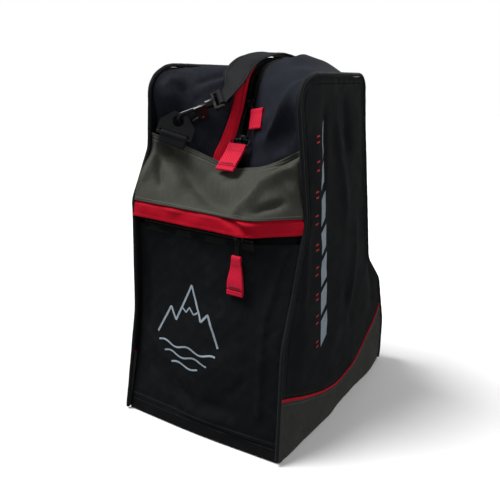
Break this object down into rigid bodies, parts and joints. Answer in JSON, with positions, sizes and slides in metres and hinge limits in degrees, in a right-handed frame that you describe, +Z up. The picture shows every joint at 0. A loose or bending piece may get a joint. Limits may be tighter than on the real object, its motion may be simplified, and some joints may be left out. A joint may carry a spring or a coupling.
{
  "type": "ski boot bag",
  "caption": "Upright canvas boot bag with a zipped front pocket, a zipped top, moulded rings and snap hooks holding a carry strap, and a wide rear heel.",
  "frame": {"origin": "centre of the base's footprint, on the floor", "axes": "+Z up, the front with its pocket faces -Y, +X is the bag's own left-hand side as it is worn on the back and the right-hand side seen from the front"},
  "size_m": [0.2428, 0.3775, 0.4899],
  "materials": {
    "black_canvas": "woven, matt",
    "navy_canvas": "woven, matt",
    "grey_canvas": "woven, matt",
    "coated_canvas": "coated, satin",
    "red_canvas": "woven, matt",
    "red_webbing": "ribbed webbing",
    "black_webbing": "ribbed webbing",
    "black_piping": "corded edge",
    "zip_tape": "woven tape",
    "zip_teeth": "moulded, satin",
    "black_moulding": "moulded, satin gloss",
    "zip_metal": "black enamel",
    "bright_wire": "dark nickel",
    "stiffener": "hollow board"
  },
  "bodies": {
    "root": {"back_panel": "black_canvas", "base_board": "stiffener", "base_panel": "coated_canvas", "corner_panel_left": "coated_canvas", "corner_panel_right": "coated_canvas", "edge_piping_left": "black_piping", "edge_piping_right": "black_piping", "front_base_band": "coated_canvas", "front_panel": "black_canvas", "front_yoke": "grey_canvas", "inner_front_wall": "black_canvas", "main_zip_flap": "red_canvas", "main_zip_tape_left": "zip_tape", "main_zip_tape_right": "zip_tape", "main_zip_teeth_left": "zip_teeth", "main_zip_teeth_right": "zip_teeth", "pocket_zip_cover": "red_canvas", "pocket_zip_tape_lower": "zip_tape", "pocket_zip_tape_upper": "zip_tape", "pocket_zip_teeth_lower": "zip_teeth", "pocket_zip_teeth_upper": "zip_teeth", "ring_tab_front": "black_webbing", "ring_tab_rear": "black_webbing", "side_panel_left": "black_canvas", "side_panel_right": "black_canvas", "side_stripe_left": "red_canvas", "side_stripe_right": "red_canvas", "top_panel_left": "navy_canvas", "top_panel_right": "navy_canvas"},
    "main_slider_front": {"main_slider_front": "zip_metal"},
    "main_pull_front": {"main_pull_ring_front": "bright_wire", "main_pull_loop_front": "red_webbing"},
    "main_slider_rear": {"main_slider_rear": "zip_metal"},
    "main_pull_rear": {"main_pull_cord_rear": "zip_metal", "main_pull_loop_rear": "red_webbing"},
    "pocket_slider": {"pocket_slider": "zip_metal"},
    "pocket_pull": {"pocket_pull_cord": "zip_metal", "pocket_pull_loop": "red_webbing"},
    "ring_front": {"ring_front": "black_moulding"},
    "ring_rear": {"ring_rear": "black_moulding"},
    "strap": {"carry_strap": "black_webbing", "strap_eye_front": "black_moulding", "strap_eye_rear": "black_moulding"},
    "strap_adjuster": {"strap_adjuster": "black_moulding"},
    "hook_front": {"hook_front": "black_moulding", "gate_pin_front": "bright_wire"},
    "hook_gate_front": {"hook_gate_front": "black_moulding"},
    "hook_rear": {"hook_rear": "black_moulding", "gate_pin_rear": "bright_wire"},
    "hook_gate_rear": {"hook_gate_rear": "black_moulding"}
  },
  "joints": [
    {"name": "main_zip_front_slide", "type": "slide", "parent": "root", "child": "main_slider_front", "axis": [0, 0.2967, 0.955], "range_m": [-0.01, 0.01]},
    {"name": "main_pull_front_swing", "type": "hinge", "parent": "main_slider_front", "child": "main_pull_front", "pos_m": [0, -0.10645, 0.38231], "axis": [-1, 0, 0], "range_deg": [0, 70]},
    {"name": "main_zip_rear_slide", "type": "slide", "parent": "root", "child": "main_slider_rear", "axis": [0, 0.2967, 0.955], "range_m": [-0.014, 0.008]},
    {"name": "main_pull_rear_swing", "type": "hinge", "parent": "main_slider_rear", "child": "main_pull_rear", "pos_m": [0, -0.09161, 0.43006], "axis": [-0.6374, 0.085, -0.7658], "range_deg": [0, 35]},
    {"name": "pocket_zip_slide", "type": "slide", "parent": "root", "child": "pocket_slider", "axis": [1, 0, 0], "range_m": [-0.134, 0.012]},
    {"name": "pocket_pull_swing", "type": "hinge", "parent": "pocket_slider", "child": "pocket_pull", "pos_m": [0.046, -0.1816, 0.279], "axis": [-1, 0, 0], "range_deg": [0, 95]},
    {"name": "ring_front_tilt", "type": "hinge", "parent": "root", "child": "ring_front", "pos_m": [-0.072, -0.15, 0.383], "axis": [0.8788, 0.4076, -0.248], "range_deg": [-1, 1]},
    {"name": "ring_rear_tilt", "type": "hinge", "parent": "root", "child": "ring_rear", "pos_m": [-0.02301, 0.064, 0.332], "axis": [-1, 0, 0], "range_deg": [-1, 1]},
    {"name": "strap_swing", "type": "hinge", "parent": "root", "child": "strap", "pos_m": [-0.06954, -0.14436, 0.40098], "axis": [0.2122, 0.9503, -0.2279], "range_deg": [-1, 4]},
    {"name": "hook_front_swivel", "type": "hinge", "parent": "strap", "child": "hook_front", "pos_m": [-0.06865, -0.14916, 0.40801], "axis": [0.7722, 0.5038, 0.3871], "range_deg": [-1.5, 1.5]},
    {"name": "hook_rear_swivel", "type": "hinge", "parent": "strap", "child": "hook_rear", "pos_m": [-0.017, 0.07001, 0.352], "axis": [0, 0, 1], "range_deg": [-1.5, 1.5]},
    {"name": "hook_gate_front_press", "type": "hinge", "parent": "hook_front", "child": "hook_gate_front", "pos_m": [-0.04567, -0.12563, 0.40907], "axis": [-0.6352, 0.5985, 0.4882], "range_deg": [0, 18], "stiffness_Nm_per_rad": 0.03, "springref_deg": -8.59},
    {"name": "hook_gate_rear_press", "type": "hinge", "parent": "hook_rear", "child": "hook_gate_rear", "pos_m": [-0.02655, 0.06046, 0.382], "axis": [0.7071, -0.7071, 0], "range_deg": [0, 18], "stiffness_Nm_per_rad": 0.03, "springref_deg": -8.59},
    {"name": "strap_adjuster_slide", "type": "slide", "parent": "strap", "child": "strap_adjuster", "axis": [0, 0, 1], "range_m": [-0.008, 0.01]}
  ]
}
